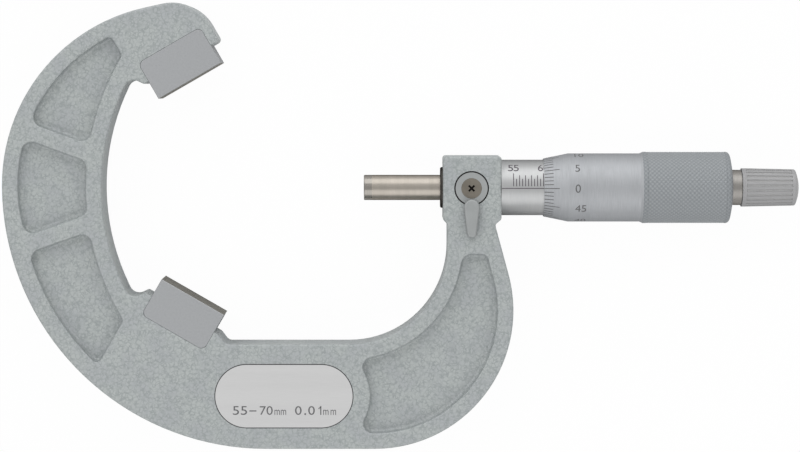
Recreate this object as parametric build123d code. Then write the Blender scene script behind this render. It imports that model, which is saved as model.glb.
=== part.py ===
from build123d import *
import os
from math import asin, cos, degrees, pi, radians, sin, sqrt, tan

# A micrometer with a vee anvil, for the outside diameter of cutters with three flutes.
# It lies on its back. X runs along the spindle towards the ratchet, Y across the throat
# and Z out of the graduated side. The origin is the centre of the spindle's measuring
# face, at the reading given here. Lengths are in millimetres, angles in degrees.

# Measuring geometry
reading = 60.0  # diameter that the instrument shows as drawn
vee_angle = 60.0
spindle_radius = 3.175
running_gap = 0.05  # radial clearance of pieces that turn or slide in each other
seat_gap = 0.02  # radial clearance of pieces that sit fast in each other

# Vee blocks, measured from the apex of the vee along and square to each measuring face
block_start = 45.5
upper_block_back = 0.7  # how much nearer to the apex the upper block sits
block_length = 18.0
block_depth = 10.3
block_corner = 1.6
block_edge = 0.1
block_seat = 5.35
seat_corner = 1.5

# Frame casting
frame_thickness = 14.0
frame_edge = 0.55
bow_beyond_apex = 0.5
upper_bow_radius = 45.6
lower_bow_radius = 66.0
crown_slope = 12.6
crown_rise = 37.1
crown_radius = 10.9
foot_drop = 65.5
upper_nub = 2.4
lower_nub = 1.35
nub_corner = 0.65
crown_lip_corner = 1.1
shelf = 2.0
valley_run = 2.35
valley_depth = 3.4
valley_radius = 2.6
throat_beyond_apex = 18.0
throat_rise = 0.4
throat_bow_radius = 59.75
throat_drop = 39.1
throat_step_slope = 53.0
throat_step_radius = 1.8
throat_corner_radius = 24.7
arm_radius = 34.76
arm_lean = 15.2
neck_front_inset = 1.08
neck_rear_inset = 1.45
neck_step = 1.2
neck_corner = 0.8
neck_root = 1.5

# Head of the frame, which carries the spindle
head_start = 19.85
head_length = 14.65
head_top = 8.0
head_foot = 7.8
head_corner = 0.8
bearing_radius = 3.4

# Pockets cast into both sides of the frame
pocket_depth = 2.4
pocket_floor_round = 1.0
pocket_lip = 0.4
corner_share = 0.45  # part of a pocket's side that one of its corner arcs may take
corner_step = 0.9  # how a corner arc shrinks until it fits between its sides
upper_rim = 4.0
lower_rim = 4.4
throat_rim = 4.2
arm_rim = 4.0
arm_inner_rim = 3.85
plate_rim = 4.3
pocket_corner = 2.6
pocket_end_corner = 1.3
pocket_top_corner = 2.9
seat_wall = 3.2
rib_width = 4.2
ribs_meet = 45.5  # distance from the apex to the point at which the ribs aim
upper_rib_angle = 20.0
lower_rib_angle = 19.5
arm_pocket_top = 16.5

# Name plate
plate_length = 34.7
plate_width = 16.0
plate_gap = 0.1
plate_behind_neck = 40.95
plate_above_foot = 13.35
plate_recess = 0.6
plate_thickness = 0.65

# Guide bush in the front of the head
bush_collar_radius = 5.15
bush_collar = 0.65
bush_radius = 4.6
bush_length = 4.45
bush_chamfer = 0.25

# Inner sleeve with the spindle's nut, and the graduated sleeve round it
socket_radius = 5.0
socket_depth = 4.9
inner_sleeve_radius = 5.5
inner_sleeve_bore = 3.9
sleeve_radius = 7.0
sleeve_length = 27.3
sleeve_key_hole = 0.8
sleeve_key_place = 4.5
nut_length = 8.7
nut_front_radius = 5.0
nut_rear_radius = 5.3
nut_slots = 3
nut_slot_width = 0.8
adjusting_nut_radius = 6.4
adjusting_nut_place = 1.3
adjusting_nut_length = 5.6
nut_notches = 4
nut_notch_width = 1.4
nut_notch_depth = 0.6

# Spindle
tip_length = 2.0
shank_length = 42.3
thread_radius = 3.6
thread_length = 35.5
relief_radius = 2.95
relief_length = 1.0
taper_front_radius = 4.6
taper_rear_radius = 3.6
taper_length = 9.6
spindle_edge = 0.15

# Thimble
thimble_edge = 45.2
thimble_edge_radius = 7.3
bevel_length = 6.2
barrel_radius = 8.6
barrel_length = 18.0
grip_radius = 9.0
grip_rise = 0.9
grip_length = 22.4
grip_corner = 1.0
grip_rim = 0.7  # plain rim in front of the knurled band
knurl_tail = 0.65  # plain strip between the knurled band and the rounded end
knurl_depth = 0.14
end_dome_radius = 36.0
cavity_end_gap = 0.5  # between the cavity's end and the spindle's shoulder

# Ratchet stop
base_radius = 4.45
base_seat = 1.2
base_showing = 2.3
base_shank_radius = 2.45
base_shank_length = 7.0
boss_radius = 3.85
boss_length = 1.5
ratchet_teeth = 12
tooth_height = 0.5
tooth_inner_radius = 2.1
tooth_gap = 0.05
cutter_reach = 1.3  # how far a gullet's cutter runs out, in radii
cutter_overlap = 0.001  # part of a pitch by which neighbouring cutters overlap
knob_gap = 0.15
knob_front_radius = 4.85
knob_rear_radius = 4.58
knob_length = 12.55
knob_band = 1.0
knob_bore = 3.95
knob_ribs = 24
rib_groove_radius = 0.32
knob_web_place = 8.4
knob_web = 1.1
knob_end_bore = 3.4
tooth_plate_thickness = 1.1
key_width = 1.2
key_height = 0.25
spring_wire_radius = 0.25
spring_radius = 2.9
spring_turns = 4
screw_radius = 1.5
screw_length = 15.0
screw_head_radius = 2.7
screw_head = 1.3
screw_slot = 0.6
screw_slot_depth = 0.6
washer_radius = 3.0
washer_thickness = 0.3
cap_plug = 0.8
cap_rim = 0.88
cap_dome_radius = 10.8
cap_edge = 0.5

# Spindle clamp
clamp_place = 7.15  # from the head's front face to the clamp's axis
clamp_recess_radius = 4.35
clamp_recess_depth = 1.5
lever_gap = 0.2
lever_floor_gap = 0.05
lever_root = 2.7
lever_length = 12.2
lever_root_width = 4.4
lever_tip_width = 2.2
lever_tip_round = 0.9
lever_lift = 0.25
lever_height = 1.95
lever_edge = 0.5
stud_radius = 2.2
stud_floor = 3.95
stud_key = 2.8
stud_key_height = 0.6
lever_screw_radius = 0.9
lever_screw_head = 2.55
lever_screw_cone = 0.8
lever_screw_rim = 0.12
lever_screw_sink = 0.1
lever_screw_length = 2.0
cross_width = 0.5
cross_span = 2.0
cross_depth = 0.7
plug_radius = 2.1

smooth_angle = 170.0  # edges that meet at more than this angle make no corner
side_share = 0.999  # part of a side that its two corner arcs may take

# Places that follow from the sizes
half_vee = radians(vee_angle / 2)
apex_x = -reading * (1 + 1 / sin(half_vee)) / 2
half_thickness = frame_thickness / 2
bow_x = apex_x - bow_beyond_apex
foot_y = -foot_drop
throat_y = -throat_drop
lip_depth = block_depth - block_seat
head_end = head_start + head_length
neck_left = head_start + neck_front_inset
neck_right = head_end - neck_rear_inset
neck_y = -head_foot - neck_step
plate_x = neck_left - plate_behind_neck
plate_y = foot_y + plate_above_foot
sleeve_end = head_end + sleeve_length
clamp_x = head_start + clamp_place
recess_floor = half_thickness - clamp_recess_depth
thread_start = tip_length + shank_length
thread_end = thread_start + thread_length
shoulder_x = thread_end + relief_length
spindle_end = shoulder_x + taper_length
grip_start = thimble_edge + bevel_length + barrel_length + grip_rise
base_x = grip_start + grip_length - base_seat
base_end = base_x + base_seat + base_showing
boss_end = base_end + boss_length
knob_x = base_end + knob_gap
knob_end = knob_x + knob_length
web_end = knob_x + knob_web_place + knob_web


def block_span(side):
    """Distances from the apex at which the block on a side starts and ends."""
    start = block_start - (upper_block_back if side > 0 else 0)
    return start, start + block_length


def from_vee(along, depth, side):
    """Point at a distance along a measuring face from the apex, and a depth behind it."""
    x = apex_x + along * cos(half_vee) - depth * sin(half_vee)
    y = along * sin(half_vee) + depth * cos(half_vee)
    return (x, side * y)


def crossing(point, angle, other, other_angle):
    """Point where two lines meet, each given by a point and an angle."""
    ax, ay = cos(radians(angle)), sin(radians(angle))
    bx, by = cos(radians(other_angle)), sin(radians(other_angle))
    run = ((other[0] - point[0]) * by - (other[1] - point[1]) * bx) / (ax * by - ay * bx)
    return (point[0] + run * ax, point[1] + run * ay)


def arc_centre(before, corner, after, radius):
    """Centre of the arc that rounds a corner between two other points."""
    towards_before = (Vector(*before) - Vector(*corner)).normalized()
    towards_after = (Vector(*after) - Vector(*corner)).normalized()
    half = radians(towards_before.get_angle(towards_after) / 2)
    centre = Vector(*corner) + (towards_before + towards_after).normalized() * (radius / sin(half))
    return (centre.X, centre.Y)


def fitting_radii(corners):
    """Radius of each (x, y, radius) corner, made smaller where its sides are too short."""
    count = len(corners)
    points = [Vector(x, y) for x, y, radius in corners]
    runs = [points[i] - points[i - 1] for i in range(count)]
    slopes = [tan(radians(runs[i].get_angle(runs[(i + 1) % count]) / 2)) for i in range(count)]
    reaches = [corners[i][2] * slopes[i] for i in range(count)]
    radii = []
    for i in range(count):
        before = reaches[i] + reaches[i - 1]
        after = reaches[i] + reaches[(i + 1) % count]
        room = [1.0]
        room += [side_share * runs[i].length / before] if before > 0 else []
        room += [side_share * runs[(i + 1) % count].length / after] if after > 0 else []
        radii.append(corners[i][2] * min(room))
    return radii


def rounded_face(corners):
    """Face inside a polygon of (x, y, radius) corners."""
    points = [(x, y) for x, y, radius in corners]
    outline = FilletPolyline(*points, radius=fitting_radii(corners), close=True)
    return make_face(outline.edges())


def plain_face(*points):
    """Face inside a polygon of points."""
    return make_face(Polyline(*points, close=True).edges())


def turned(*points):
    """Solid of revolution about the X axis from (x, radius) points."""
    return revolve(plain_face(*points), Axis.X)


def domed(points, dome_radius, corner):
    """Turned solid with a dome, whose first point lies on the dome and last one on its side."""
    (first_x, first_radius), side = points[0], points[-1][1]
    centre = first_x - sqrt(dome_radius ** 2 - first_radius ** 2)
    lean = asin((side - corner) / (dome_radius - corner))
    arc_centre = (centre + (dome_radius - corner) * cos(lean), side - corner)
    half_way = (pi / 2 + lean) / 2
    start = (arc_centre[0], side)
    middle = (arc_centre[0] + corner * cos(half_way), arc_centre[1] + corner * sin(half_way))
    end = (centre + dome_radius * cos(lean), dome_radius * sin(lean))
    dome_middle = (lean + asin(first_radius / dome_radius)) / 2
    on_dome = (centre + dome_radius * cos(dome_middle), dome_radius * sin(dome_middle))
    edges = Polyline(*points, start).edges()
    edges += ThreePointArc(start, middle, end).edges()
    edges += ThreePointArc(end, on_dome, points[0]).edges()
    return revolve(make_face(edges), Axis.X)


def tube(start, end, outer, inner):
    """Plain tube along the X axis."""
    return turned((start, inner), (end, inner), (end, outer), (start, outer))


def rod(start, end, radius):
    """Plain rod along the X axis."""
    return turned((start, 0), (end, 0), (end, radius), (start, radius))


def post(x, y, low, high, radius):
    """Plain rod along Z."""
    return extrude(Pos(x, y, low) * Circle(radius), high - low)


def disc(centre, radius):
    """Round face at a point."""
    return Pos(*centre) * Circle(radius)


def leaving(side, place):
    """Direction in which an edge leaves the end that lies at a place."""
    return side % 0 if (side @ 0 - place).length < (side @ 1 - place).length else -(side % 1)


def round_one_corner(face, corner, radius):
    """Face with one corner rounded, by the radius given or the next smaller one that fits."""
    try:
        return face.fillet_2d(radius, [corner])
    except ValueError:
        return round_one_corner(face, corner, corner_step * radius)


def round_the_corners(face, radius_at):
    """Face with each corner rounded by the radius for its place, limited by its edges."""
    for place in [corner.center() for corner in face.vertices()]:
        corner = face.vertices().sort_by_distance(place)[0]
        sides = face.edges().sort_by_distance(place)[:2]
        if leaving(sides[0], place).get_angle(leaving(sides[1], place)) < smooth_angle:
            room = corner_share * min(side.length for side in sides)
            face = round_one_corner(face, corner, min(radius_at(place), room))
    return face


# Frame
arm_angle = 90 + arm_lean
neck_point = (neck_right, neck_y - neck_step / 2)
arm_foot = crossing((0, foot_y), 0, neck_point, arm_angle)
upper_lip = from_vee(block_span(1)[1] + upper_nub, lip_depth, 1)
lower_lip = from_vee(block_span(-1)[1] + lower_nub, lip_depth, -1)
crown = crossing((bow_x, crown_rise), crown_slope, upper_lip, 90 + vee_angle / 2)
step_foot = crossing((0, throat_y), 0, lower_lip, -throat_step_slope)
shelf_end = block_start - shelf
valley = (shelf_end - valley_run, lip_depth + valley_depth)
throat_tip = (apex_x + throat_beyond_apex, throat_rise)
bow_top = (bow_x, crown_rise)
bow_foot = (bow_x, foot_y)
throat_corner = (neck_left, throat_y)
upper_bow_centre = arc_centre(crown, bow_top, bow_foot, upper_bow_radius)
lower_bow_centre = arc_centre(bow_top, bow_foot, arm_foot, lower_bow_radius)
throat_bow_centre = arc_centre(from_vee(*valley, -1), throat_tip, from_vee(*valley, 1), throat_bow_radius)
throat_corner_centre = arc_centre((neck_left, neck_y), throat_corner, step_foot, throat_corner_radius)


def frame_outline():
    """Corners of the frame, from the upper lip round the bow and the arm and back."""
    return [
        (*upper_lip, crown_lip_corner),
        (*crown, crown_radius),
        (*bow_top, upper_bow_radius),
        (*bow_foot, lower_bow_radius),
        (*arm_foot, arm_radius),
        (*neck_point, neck_root),
        (neck_right, neck_y, neck_corner),
        (head_end, -head_foot, head_corner),
        (head_end, head_top, head_corner),
        (head_start, head_top, head_corner),
        (head_start, -head_foot, head_corner),
        (neck_left, neck_y, neck_corner),
        (*throat_corner, throat_corner_radius),
        (*step_foot, throat_step_radius),
        (*lower_lip, nub_corner),
        (*from_vee(shelf_end, lip_depth, -1), nub_corner),
        (*from_vee(*valley, -1), valley_radius),
        (*throat_tip, throat_bow_radius),
        (*from_vee(*valley, 1), valley_radius),
        (*from_vee(shelf_end, lip_depth, 1), nub_corner),
    ]


def block_face(side, corner):
    """Outline of a vee block, with its two rear corners rounded."""
    start, end = block_span(side)
    points = [(start, 0, 0), (end, 0, 0), (end, block_depth, corner), (start, block_depth, corner)]
    return rounded_face([(*from_vee(along, depth, side), radius) for along, depth, radius in points])


def bow_pockets():
    """Faces of the three pockets along the bow, between its rims and its two ribs."""
    pocket_end = block_start - seat_wall
    throat = disc(throat_bow_centre, throat_bow_radius + throat_rim)
    ribs = []
    for angle in (180 - upper_rib_angle, 180 + lower_rib_angle):
        ribs.append(Pos(apex_x + ribs_meet, 0) * Rot(0, 0, angle) * Pos(reading / 2, 0)
                    * Rectangle(reading, rib_width))
    upper = disc(upper_bow_centre, upper_bow_radius - upper_rim) - throat - ribs
    lower = disc(lower_bow_centre, lower_bow_radius - lower_rim) - throat - ribs
    limits = {side: plain_face(*[from_vee(along, depth, side) for along, depth in
                                 ((-reading, -reading), (pocket_end, -reading),
                                  (pocket_end, 2 * reading), (-reading, 2 * reading))])
              for side in (1, -1)}
    first = (upper & limits[1]).faces().sort_by(Axis.Y)[-1]
    middle = upper.faces().sort_by(lambda face: abs(face.center().Y))[0]
    last = (lower & limits[-1]).faces().sort_by(Axis.Y)[0]

    def radius_at(place):
        """Corners next to the vee blocks are tighter than the others."""
        along = (place.X - apex_x) * cos(half_vee) + abs(place.Y) * sin(half_vee)
        return pocket_end_corner if along > pocket_end - pocket_corner else pocket_corner

    return [round_the_corners(face, radius_at) for face in (first, middle, last)]


def arm_pocket():
    """Face of the long pocket in the arm, which bends round the end of the name plate."""
    floor_y = foot_y + arm_rim
    inset = (neck_point[0] - arm_rim / cos(radians(arm_lean)), neck_point[1])
    corner = crossing((0, floor_y), 0, inset, arm_angle)
    top = crossing((0, -arm_pocket_top), 0, inset, arm_angle)
    outside = rounded_face([(apex_x, floor_y, 0), (*corner, arm_radius - arm_rim),
                            (*top, 0), (apex_x, -arm_pocket_top, 0)])
    plate_end = (plate_x + (plate_length - plate_width) / 2, plate_y)
    outside -= disc(throat_corner_centre, throat_corner_radius + arm_inner_rim)
    outside -= disc(plate_end, plate_width / 2 + plate_rim)
    face = outside.faces().sort_by(Axis.X)[-1]

    def radius_at(place):
        """The end below the head is nearly a half circle."""
        return pocket_top_corner if place.Y > -arm_pocket_top - 1 else pocket_corner

    return round_the_corners(face, radius_at)


def pocket_cutter(face):
    """Solid that cuts a pocket with a rounded floor down from the upper side."""
    cutter = extrude(Pos(0, 0, half_thickness - pocket_depth) * face, 2 * pocket_depth)
    floor = cutter.edges().group_by(Axis.Z)[0]
    return fillet(floor, min(pocket_floor_round, 0.8 * pocket_end_corner))


def stadium(length, width, low, high):
    """Prism with two half round ends, at the place of the name plate."""
    return extrude(Pos(plate_x, plate_y, low) * SlotOverall(length, width), high - low)


def frame():
    """Casting with its pockets, block seats, plate recess, bores and clamp recess."""
    body = extrude(rounded_face(frame_outline()), half_thickness, both=True)
    body = fillet(body.edges().group_by(Axis.Z)[0] + body.edges().group_by(Axis.Z)[-1], frame_edge)
    for cutter in [pocket_cutter(face) for face in (*bow_pockets(), arm_pocket())]:
        body = body - cutter - mirror(cutter, Plane.XY)
    lips = []
    for side in (body.faces().sort_by(Axis.Z)[0], body.faces().sort_by(Axis.Z)[-1]):
        for wire in side.inner_wires():
            lips += wire.edges()
    body = fillet(lips, pocket_lip)
    for side in (1, -1):
        body -= extrude(block_face(side, seat_corner), frame_thickness, both=True)
    body -= stadium(plate_length + 2 * plate_gap, plate_width + 2 * plate_gap,
                    half_thickness - plate_recess, frame_thickness)
    body -= rod(head_start - 1, head_start + bush_length, bush_radius + seat_gap)
    body -= rod(head_start, head_end, bearing_radius)
    body -= rod(head_end - socket_depth, head_end + 1, socket_radius + seat_gap)
    body -= post(clamp_x, 0, recess_floor, frame_thickness, clamp_recess_radius)
    body -= post(clamp_x, 0, 0, frame_thickness, stud_radius + running_gap)
    return body


def vee_block(side):
    """Block with one measuring face, seated in the frame."""
    block = extrude(block_face(side, block_corner), half_thickness, both=True)
    return chamfer(block.edges().group_by(Axis.Z)[0] + block.edges().group_by(Axis.Z)[-1], block_edge)


def name_plate():
    """Stadium shaped plate, just proud of the frame."""
    low = half_thickness - plate_recess
    return stadium(plate_length, plate_width, low, low + plate_thickness)


def spindle_guide_bush():
    """Bush with a collar in front of the head."""
    collar = head_start - bush_collar
    bore = spindle_radius + running_gap
    return turned((collar, bore), (head_start + bush_length, bore),
                  (head_start + bush_length, bush_radius), (head_start, bush_radius),
                  (head_start, bush_collar_radius), (collar + bush_chamfer, bush_collar_radius),
                  (collar, bush_collar_radius - bush_chamfer))


def inner_sleeve():
    """Carrier of the spindle's nut, split at its end so that the nut can be closed up."""
    start = head_end - socket_depth
    nut_end = sleeve_end + nut_length
    nut_bore = thread_radius + running_gap
    body = turned((start, inner_sleeve_bore), (sleeve_end, inner_sleeve_bore), (sleeve_end, nut_bore),
                  (nut_end, nut_bore), (nut_end, nut_rear_radius), (sleeve_end, nut_front_radius),
                  (sleeve_end, inner_sleeve_radius), (head_end, inner_sleeve_radius),
                  (head_end, socket_radius), (start, socket_radius))
    slot = Pos((sleeve_end + nut_end) / 2, 0, inner_sleeve_radius)
    slot *= Box(nut_length, nut_slot_width, 2 * inner_sleeve_radius)
    for number in range(nut_slots):
        body -= Rot(360 / nut_slots * number, 0, 0) * slot
    return body


def graduated_sleeve():
    """Sleeve that carries the scale, with the hole in which a spanner turns it."""
    body = tube(head_end, sleeve_end, sleeve_radius, inner_sleeve_radius + seat_gap)
    return body - post(head_end + sleeve_key_place, 0, -2 * sleeve_radius, 0, sleeve_key_hole)


def adjusting_nut():
    """Ring that closes the split nut, with notches for a spanner."""
    start = sleeve_end + adjusting_nut_place
    end = start + adjusting_nut_length
    rise = (nut_rear_radius - nut_front_radius) / nut_length
    front_bore = nut_front_radius + rise * adjusting_nut_place + seat_gap
    ring = turned((start, front_bore), (end, front_bore + rise * adjusting_nut_length),
                  (end, adjusting_nut_radius), (start, adjusting_nut_radius))
    notch = Pos(end, 0, adjusting_nut_radius) * Box(2, nut_notch_width, 2 * nut_notch_depth)
    for number in range(nut_notches):
        ring -= Rot(360 / nut_notches * number, 0, 0) * notch
    return ring


def spindle():
    """Shank, thread and taper of the spindle, in one turned piece."""
    body = turned((tip_length, 0), (spindle_end, 0), (spindle_end, taper_rear_radius),
                  (shoulder_x, taper_front_radius), (shoulder_x, relief_radius),
                  (thread_end, relief_radius), (thread_end, thread_radius),
                  (thread_start, thread_radius), (thread_start - spindle_edge, spindle_radius),
                  (tip_length, spindle_radius))
    hole_start = base_x - base_shank_length - relief_length
    return body - rod(hole_start, spindle_end + 1, base_shank_radius + seat_gap)


def spindle_tip():
    """Hard metal tip with the measuring face."""
    return turned((0, 0), (tip_length, 0), (tip_length, spindle_radius),
                  (spindle_edge, spindle_radius), (0, spindle_radius - spindle_edge))


def thimble():
    """Thimble with its bevelled edge, barrel, grip and domed end.

    The knurled band of the grip is turned down to the depth of the knurl's grooves.
    """
    end = base_x + base_seat
    cavity = sleeve_radius + running_gap
    cavity_end = shoulder_x - cavity_end_gap
    taper = (taper_front_radius - taper_rear_radius) / taper_length
    front_bore = taper_front_radius + running_gap + taper * cavity_end_gap
    rear_bore = front_bore - taper * (base_x - cavity_end)
    seat = base_radius + running_gap
    knurl_start = grip_start + grip_rim
    dome_fall = end_dome_radius - sqrt(end_dome_radius ** 2 - grip_radius ** 2)
    knurl_end = end - dome_fall - knurl_tail
    knurl_root = grip_radius - knurl_depth
    return domed([(end, seat), (base_x, seat), (base_x, rear_bore), (cavity_end, front_bore),
                  (cavity_end, cavity), (thimble_edge, cavity), (thimble_edge, thimble_edge_radius),
                  (thimble_edge + bevel_length, barrel_radius),
                  (grip_start - grip_rise, barrel_radius), (grip_start, grip_radius),
                  (knurl_start, grip_radius), (knurl_start + knurl_depth, knurl_root),
                  (knurl_end - knurl_depth, knurl_root), (knurl_end, grip_radius)],
                 end_dome_radius, grip_corner)


def tooth_gullets(radius, height):
    """Cutters for face teeth, with their tops in the plane of the origin and X pointing out.

    Each gullet is a wedge that gets deeper and wider with its distance from the axis.
    """
    half_pitch = pi / ratchet_teeth
    sections = []
    for distance in (tooth_inner_radius / 2, cutter_reach * radius):
        depth = height * distance / radius
        side = distance * tan(half_pitch) * (1 + cutter_overlap)
        sections.append(Pos(0, 0, distance) * plain_face((-depth, -side), (height, -side),
                                                         (height, side), (0, side)))
    gullet = loft(sections)
    return [Rot(360 / ratchet_teeth * number, 0, 0) * gullet for number in range(ratchet_teeth)]


def ratchet_base():
    """Base of the ratchet: shank, neck and boss with saw teeth on its end."""
    shank_start = base_x - base_shank_length
    bore = screw_radius + running_gap
    tooth_top = boss_end + tooth_height
    body = turned((shank_start, bore), (tooth_top, bore), (tooth_top, boss_radius),
                  (base_end, boss_radius), (base_end, base_radius), (base_x, base_radius),
                  (base_x, base_shank_radius), (shank_start, base_shank_radius))
    for gullet in tooth_gullets(boss_radius, tooth_height):
        body -= Pos(tooth_top, 0, 0) * gullet
    return body - tube(boss_end, tooth_top + 1, tooth_inner_radius, 0)


def ratchet_tooth_plate():
    """Plate with the same teeth, kept from turning in the knob by two keys."""
    start = boss_end + tooth_height + tooth_gap
    end = start + tooth_height + tooth_plate_thickness
    radius = knob_bore - running_gap
    body = tube(start, end, radius, screw_radius + 2 * running_gap)
    for gullet in tooth_gullets(radius, tooth_height):
        body -= Pos(start, 0, 0) * Rot(0, 0, 180) * gullet
    for side in (1, -1):
        key = Pos(end - tooth_plate_thickness / 2, 0, side * radius)
        body += key * Box(tooth_plate_thickness, key_width, 2 * key_height)
    return body - tube(start - 1, start + tooth_height, tooth_inner_radius, 0)


def ratchet_knob():
    """Hollow knob with grooves along its tapered side."""
    web_start = knob_x + knob_web_place
    hole = screw_radius + 4 * running_gap
    body = turned((knob_x, knob_bore), (web_start, knob_bore), (web_start, hole), (web_end, hole),
                  (web_end, knob_end_bore), (knob_end, knob_end_bore), (knob_end, knob_rear_radius),
                  (knob_x, knob_front_radius))
    lean = (knob_front_radius - knob_rear_radius) / knob_length
    groove_start = knob_front_radius - lean * knob_band
    groove = Pos(knob_x + knob_band, 0, groove_start) * Rot(0, degrees(lean), 0)
    groove *= rod(0, knob_length, rib_groove_radius)
    for number in range(knob_ribs):
        body -= Rot(360 / knob_ribs * (number + 0.5), 0, 0) * groove
    for side in (1, -1):
        way = Pos(knob_x + knob_web_place / 2, 0, side * knob_bore)
        body -= way * Box(knob_web_place, key_width + 2 * running_gap, 2 * (key_height - running_gap / 2))
    return body


def ratchet_spring():
    """Coil spring between the tooth plate and the knob's web."""
    start = boss_end + 2 * tooth_height + tooth_gap + tooth_plate_thickness
    end = knob_x + knob_web_place
    height = end - start - 2 * spring_wire_radius - 2 * running_gap
    path = Helix(pitch=height / spring_turns, height=height, radius=spring_radius, direction=(1, 0, 0))
    section = Plane(origin=path @ 0, z_dir=path % 0) * Circle(spring_wire_radius)
    return Pos(start + spring_wire_radius + running_gap, 0, 0) * sweep(section, path)


def ratchet_washer():
    """Plain washer under the ratchet screw's head."""
    return tube(web_end, web_end + washer_thickness, washer_radius, screw_radius + running_gap)


def ratchet_screw():
    """Screw with a slotted head, which holds the ratchet on its base."""
    seat = web_end + washer_thickness
    body = rod(seat - screw_length, seat, screw_radius) + rod(seat, seat + screw_head, screw_head_radius)
    slot = Pos(seat + screw_head, 0, 0) * Box(2 * screw_slot_depth, screw_slot, 3 * screw_head_radius)
    return body - slot


def ratchet_cap():
    """Domed cap that closes the knob's end."""
    dome_end = knob_end + cap_rim + cap_dome_radius - sqrt(cap_dome_radius ** 2 - knob_rear_radius ** 2)
    plug = knob_end_bore - seat_gap
    return domed([(dome_end, 0), (knob_end - cap_plug, 0), (knob_end - cap_plug, plug),
                  (knob_end, plug), (knob_end, knob_rear_radius)], cap_dome_radius, cap_edge)


def clamp_lever():
    """Lever of the spindle clamp: a flush disc with a raised tapering handle."""
    low = recess_floor + lever_floor_gap
    handle_low = half_thickness + lever_lift
    top = handle_low + lever_height
    disc_radius = clamp_recess_radius - lever_gap
    body = post(clamp_x, 0, low, half_thickness, disc_radius)
    root, tip = lever_root_width / 2, lever_tip_width / 2
    outline = rounded_face([(clamp_x - root, -lever_root, root), (clamp_x + root, -lever_root, root),
                            (clamp_x + tip, -lever_length, lever_tip_round),
                            (clamp_x - tip, -lever_length, lever_tip_round)])
    handle = extrude(Pos(0, 0, handle_low) * outline, lever_height)
    handle = fillet(handle.edges().group_by(Axis.Z)[-1], lever_edge)
    under = extrude(Pos(0, 0, half_thickness) * outline, lever_lift)
    body += handle + (under & post(clamp_x, 0, half_thickness, handle_low, disc_radius))
    key = stud_key + 2 * seat_gap
    body -= Pos(clamp_x, 0, half_thickness) * Box(key, key, frame_thickness)
    return body - lever_screw_head_shape(half_thickness - lever_screw_sink, seat_gap, top)


def lever_screw_head_shape(head_top_z, gap, high):
    """Countersunk head of the lever's screw, grown by a gap and run up to a height."""
    wide = lever_screw_head + gap
    narrow = lever_screw_radius + gap
    cone_foot = head_top_z - lever_screw_cone
    profile = plain_face((0, cone_foot - gap), (narrow, cone_foot - gap),
                         (wide, head_top_z - lever_screw_rim - gap), (wide, high), (0, high))
    return Pos(clamp_x, 0, 0) * revolve(Plane.XZ * profile, Axis.Z)


def lever_screw():
    """Countersunk screw with a cross recess, which holds the lever on the stud."""
    top = half_thickness - lever_screw_sink
    foot = top - lever_screw_cone
    body = lever_screw_head_shape(top, 0, top)
    body += post(clamp_x, 0, foot - lever_screw_length, foot, lever_screw_radius)
    for turn in (45, 135):
        body -= Pos(clamp_x, 0, top) * Rot(0, 0, turn) * Box(cross_span, cross_width, 2 * cross_depth)
    return body


def clamp_stud():
    """Stud under the lever, which presses the plug on the spindle."""
    body = post(clamp_x, 0, stud_floor, recess_floor, stud_radius)
    body += Pos(clamp_x, 0, recess_floor + stud_key_height / 2) * Box(stud_key, stud_key, stud_key_height)
    hole_floor = half_thickness - lever_screw_sink - lever_screw_cone - lever_screw_length
    return body - post(clamp_x, 0, max(hole_floor, stud_floor), frame_thickness,
                       lever_screw_radius + seat_gap)


def clamp_plug():
    """Soft plug between the stud and the spindle, hollowed to the spindle's round."""
    body = post(clamp_x, 0, 0, stud_floor, plug_radius)
    return body - rod(head_start, head_end, spindle_radius + running_gap)


if __name__ == "__main__":
    os.makedirs("parts", exist_ok=True)
    export_step(frame(), "parts/frame.step")
    export_step(vee_block(1), "parts/upper_vee_block.step")
    export_step(vee_block(-1), "parts/lower_vee_block.step")
    export_step(name_plate(), "parts/name_plate.step")
    export_step(spindle_guide_bush(), "parts/spindle_guide_bush.step")
    export_step(inner_sleeve(), "parts/inner_sleeve.step")
    export_step(graduated_sleeve(), "parts/graduated_sleeve.step")
    export_step(adjusting_nut(), "parts/adjusting_nut.step")
    export_step(clamp_plug(), "parts/clamp_plug.step")
    export_step(clamp_stud(), "parts/clamp_stud.step")
    export_step(clamp_lever(), "parts/clamp_lever.step")
    export_step(lever_screw(), "parts/lever_screw.step")
    export_step(spindle(), "parts/spindle.step")
    export_step(spindle_tip(), "parts/spindle_tip.step")
    export_step(thimble(), "parts/thimble.step")
    export_step(ratchet_base(), "parts/ratchet_base.step")
    export_step(ratchet_tooth_plate(), "parts/ratchet_tooth_plate.step")
    export_step(ratchet_knob(), "parts/ratchet_knob.step")
    export_step(ratchet_spring(), "parts/ratchet_spring.step")
    export_step(ratchet_washer(), "parts/ratchet_washer.step")
    export_step(ratchet_screw(), "parts/ratchet_screw.step")
    export_step(ratchet_cap(), "parts/ratchet_cap.step")
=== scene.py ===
"""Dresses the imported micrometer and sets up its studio.

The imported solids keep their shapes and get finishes. The knurling of the grip, the graduations
and numerals of the sleeve and thimble, and the lettering of the name plate are modelled here.
Sizes are in millimetres and are turned into metres by MM. X runs along the spindle, Y across
the throat and Z out of the graduated side.
"""

import logging
import math
from collections.abc import Callable
from dataclasses import dataclass
from enum import Enum

import bpy
from mathutils import Matrix, Vector


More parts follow.
